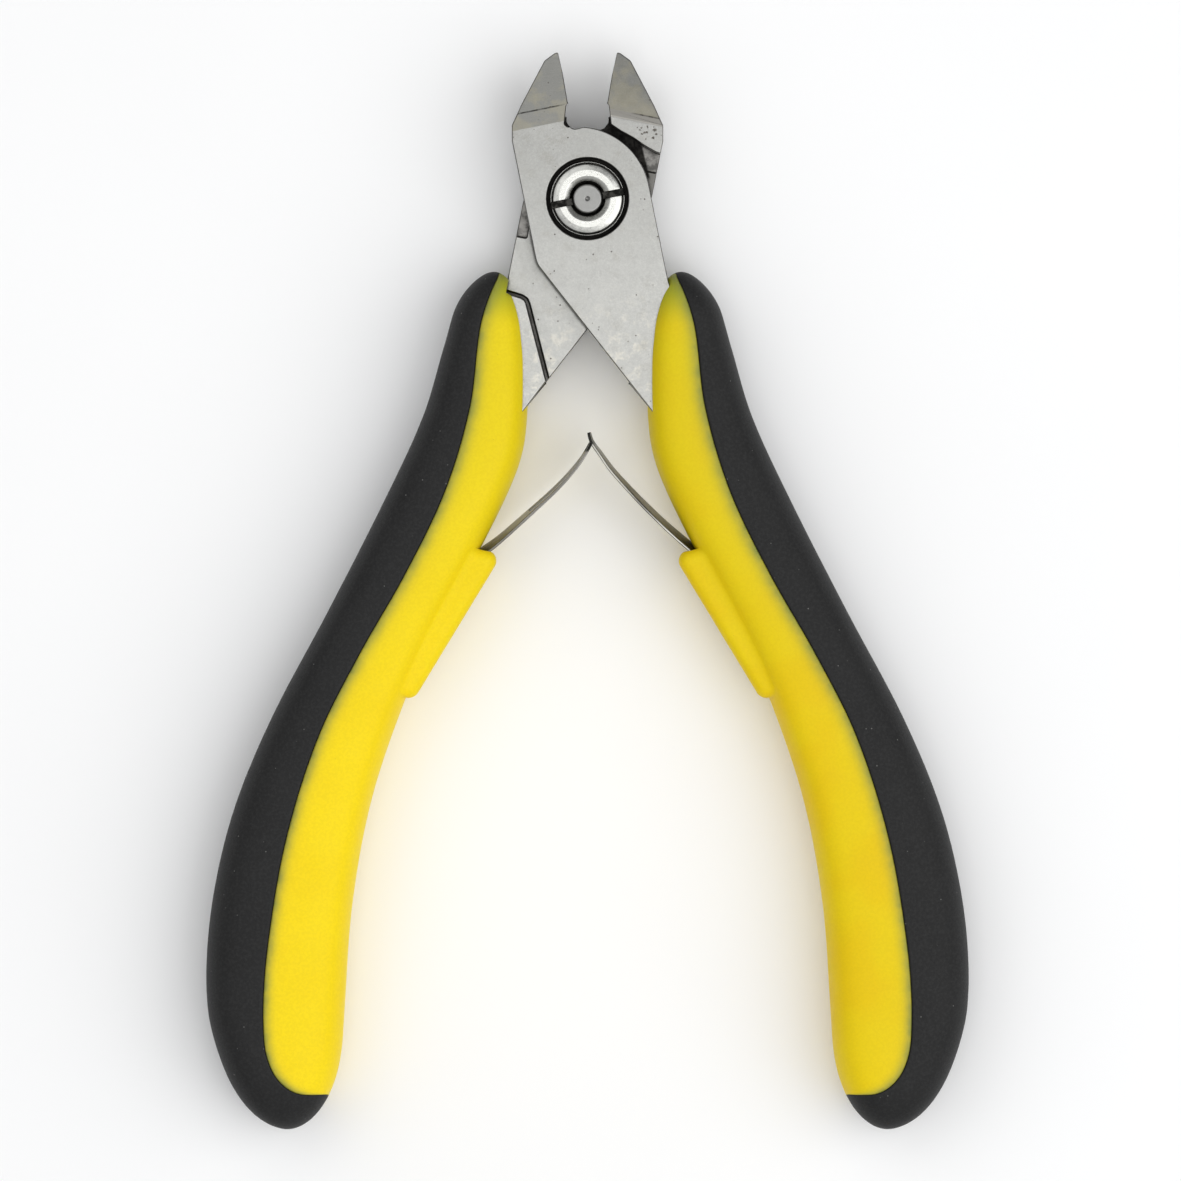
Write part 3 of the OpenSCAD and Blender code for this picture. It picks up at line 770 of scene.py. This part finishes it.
def strip(side, line, low, high, reach):
    """Vertices and faces of a thin strip with broken edges, on edge along line and leaning a little.

    line holds (x, y, t), t running from 0 at the pocket's mouth to 1 at the tip; low and high give
    the strip's edges at t, reach the height over which it leans.
    """
    verts, faces, rings = [], [], []
    for i, (x, y, along) in enumerate(line):
        (ax, ay), (bx, by) = line[max(i - 1, 0)][:2], line[min(i + 1, len(line) - 1)][:2]
        d = math.hypot(bx - ax, by - ay)
        nx, ny = -(by - ay) / d, (bx - ax) / d
        t = EDGE_T / 2
        r = 0.09
        lean = LEAN_ROOT + (LEAN_TIP - LEAN_ROOT) * min(max(along, 0), 1)
        z_low, z_high = MID_Z + low(along), MID_Z + high(along)
        ring = []
        for across, z in ((-t, z_low + r), (-t * 0.8, z_low + r * 0.3), (r - t, z_low),
                          (t - r, z_low), (t * 0.8, z_low + r * 0.3), (t, z_low + r),
                          (t, z_high - r), (t * 0.8, z_high - r * 0.3), (t - r, z_high),
                          (r - t, z_high), (-t * 0.8, z_high - r * 0.3), (-t, z_high - r)):
            out = across + lean * (z - MID_Z) / (2 * reach(along))
            ring.append(len(verts))
            verts.append(Vector(((x + nx * out) * side, y + ny * out + PIVOT_Y, z)) * MM)
        rings.append(ring)
    n = len(rings[0])
    for a, b in zip(rings, rings[1:]):
        for k in range(n):
            faces.append((a[k], a[(k + 1) % n], b[(k + 1) % n], b[k]))
    faces += [tuple(rings[0]), tuple(reversed(rings[-1]))]
    return verts, faces


def build_spring(side, material):
    hand = SIDES[side]["hand"]
    blade = LEAF[side]
    mx, my = blade[0]
    tilt = math.radians(POCKET_TILT + HALF)
    root = [(mx + math.sin(tilt) * q, my - math.cos(tilt) * q) for q in (ROOT_LEN, 8, 4, 1.2)]
    per = 8
    line = spline(root + blade, per)
    start_at, steps = len(root) * per, (len(blade) - 1) * per
    line = [(x, y, (i - start_at) / steps) for i, (x, y) in enumerate(line)]
    edge, slot = LEAF_W / 2, FORK_SLOT / 2
    if side == FRONT:
        def width(t):
            return TONGUE_W / 2 + (edge - TONGUE_W / 2) * smoothstep(TONGUE_AT, SHOULDER_AT, t)

        parts = [strip(side, line, lambda t: -width(t), width, width)]
    else:
        fork = (len(root) + FORK_FROM) * per
        parts = [strip(side, line[:fork + 1], lambda t: -edge, lambda t: edge, lambda t: edge),
                 strip(side, line[fork:], lambda t: -edge, lambda t: -slot, lambda t: edge),
                 strip(side, line[fork:], lambda t: slot, lambda t: edge, lambda t: edge)]
    verts, faces = [], []
    for v, f in parts:
        base = len(verts)
        verts += v
        faces += [tuple(i + base for i in face) for face in f]
    obj = mesh_object(f"{hand}_leaf_spring", verts, faces, smooth=False)
    tidy_normals(obj)
    obj.data.materials.append(material)
    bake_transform(obj)
    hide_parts(f"{hand}_spring_root", f"{hand}_spring_blade")


# ---------------------------------------------------------------- steel and pivot
# Vertices closer than WELD_MM are one, faces within FLAT_WITHIN degrees are one, and an edge sharper
# than EDGE_OVER degrees is broken.

WELD_MM, FLAT_WITHIN, EDGE_OVER = 0.002, 0.6, 25


def finish_node(name, material, width_mm):
    """Gives a solid-model node its material and softly broken edges."""
    obj = frame["nodes"][name]
    obj.data.materials.clear()
    obj.data.materials.append(material)
    weld = obj.modifiers.new("weld", "WELD")
    weld.merge_threshold = WELD_MM * MM
    flat = obj.modifiers.new("flat", "DECIMATE")
    flat.decimate_type = "DISSOLVE"
    flat.angle_limit = math.radians(FLAT_WITHIN)
    bevel = obj.modifiers.new("bevel", "BEVEL")
    bevel.width = width_mm * MM
    bevel.segments = 2
    bevel.limit_method = "ANGLE"
    bevel.angle_limit = math.radians(EDGE_OVER)
    bevel.harden_normals = True
    bevel.miter_outer = "MITER_ARC"
    bevel.use_clamp_overlap = False
    return obj


# ---------------------------------------------------------------- stage

def build_floor():
    s = Shader("pale_board")
    tone = s.noise(0.02, 3, 0.5)
    s.set(Base_Color=s.mix(tone, (0.90, 0.90, 0.90), (0.93, 0.93, 0.93)), Roughness=0.8,
          Specular_IOR_Level=0.1)
    n, size = 8, 3.0
    verts = [((i / n - 0.5) * size, (j / n - 0.5) * size, -0.00005)
             for i in range(n + 1) for j in range(n + 1)]
    faces = [(i * (n + 1) + j, (i + 1) * (n + 1) + j, (i + 1) * (n + 1) + j + 1, i * (n + 1) + j + 1)
             for i in range(n) for j in range(n)]
    floor = mesh_object("floor", verts, faces)
    floor.data.materials.append(s.material)


def area_light(name, at, size, power):
    """Square softbox at a place in metres, turned to the origin."""
    data = bpy.data.lights.new(name, "AREA")
    data.shape = "SQUARE"
    data.size = size
    data.energy = power
    obj = bpy.data.objects.new(name, data)
    obj.location = at
    obj.rotation_euler = (-Vector(at)).to_track_quat("-Z", "Y").to_euler()
    bpy.context.scene.collection.objects.link(obj)


def build_light():
    """An evenly lit white room, darker low down and behind the jaws, with four softboxes."""
    world = bpy.data.worlds.new("room")
    bpy.context.scene.world = world
    world.use_nodes = True
    tree = world.node_tree
    coords = tree.nodes.new("ShaderNodeTexCoord")
    split = tree.nodes.new("ShaderNodeSeparateXYZ")
    lean = tree.nodes.new("ShaderNodeMath")
    lean.operation = "MULTIPLY_ADD"
    lean.inputs[1].default_value = -0.40
    ramp = tree.nodes.new("ShaderNodeValToRGB")
    ramp.color_ramp.elements[0].position = 0.0
    ramp.color_ramp.elements[0].color = (0.165, 0.166, 0.168, 1)
    ramp.color_ramp.elements[1].position = 1.0
    ramp.color_ramp.elements[1].color = (0.715, 0.72, 0.725, 1)
    tree.links.new(coords.outputs["Generated"], split.inputs[0])
    tree.links.new(split.outputs["Y"], lean.inputs[0])
    tree.links.new(split.outputs["Z"], lean.inputs[2])
    tree.links.new(lean.outputs[0], ramp.inputs["Fac"])
    tree.links.new(ramp.outputs["Color"], tree.nodes["Background"].inputs["Color"])
    area_light("key", (0.57, -0.10, 0.61), 0.9, 3.6)
    area_light("fill", (-0.6, 0.1, 0.55), 0.7, 0.6)
    area_light("back", (-0.25, 0.45, 0.60), 0.7, 0.9)
    area_light("top", (0.02, -0.15, 0.9), 0.5, 1.3)


def build_camera():
    centre_x, centre_y = 0.34, 0.05
    span, distance, sharp_z = 134.6, 2000.0, 7.5
    data = bpy.data.cameras.new("camera")
    data.sensor_width = 36
    data.lens = 36 * (distance - sharp_z) / span
    data.clip_start, data.clip_end = 0.01, 10
    obj = bpy.data.objects.new("camera", data)
    obj.location = Vector((centre_x, centre_y, distance)) * MM
    obj.rotation_euler = (0, 0, 0)
    bpy.context.scene.collection.objects.link(obj)
    bpy.context.scene.camera = obj


def main():
    black = black_material()
    for side in (FRONT, REAR):
        build_grip(side, yellow_material(side), black)
        build_spring(side, spring_material(side))
    finish_node("front_half", steel_material(FRONT), 0.15)
    finish_node("rear_half", steel_material(REAR), 0.15)
    for node, colour, rough, shade_below, edge in (
            ("pivot_screw", (0.30, 0.30, 0.29), 0.36, 0.55, 0.06),
            ("pivot_nut", (0.66, 0.66, 0.625), 0.28, 0.52, 0.05),
            ("pivot_washer", (0.25, 0.24, 0.22), 0.40, 0.55, 0.03)):
        material = turned_material(f"{node}_steel", colour, rough, FACE_Z - shade_below)
        finish_node(node, material, edge)
    build_floor()
    build_light()
    build_camera()
    bpy.context.scene.view_settings.view_transform = "Standard"
    bpy.context.scene.view_settings.look = "None"


main()
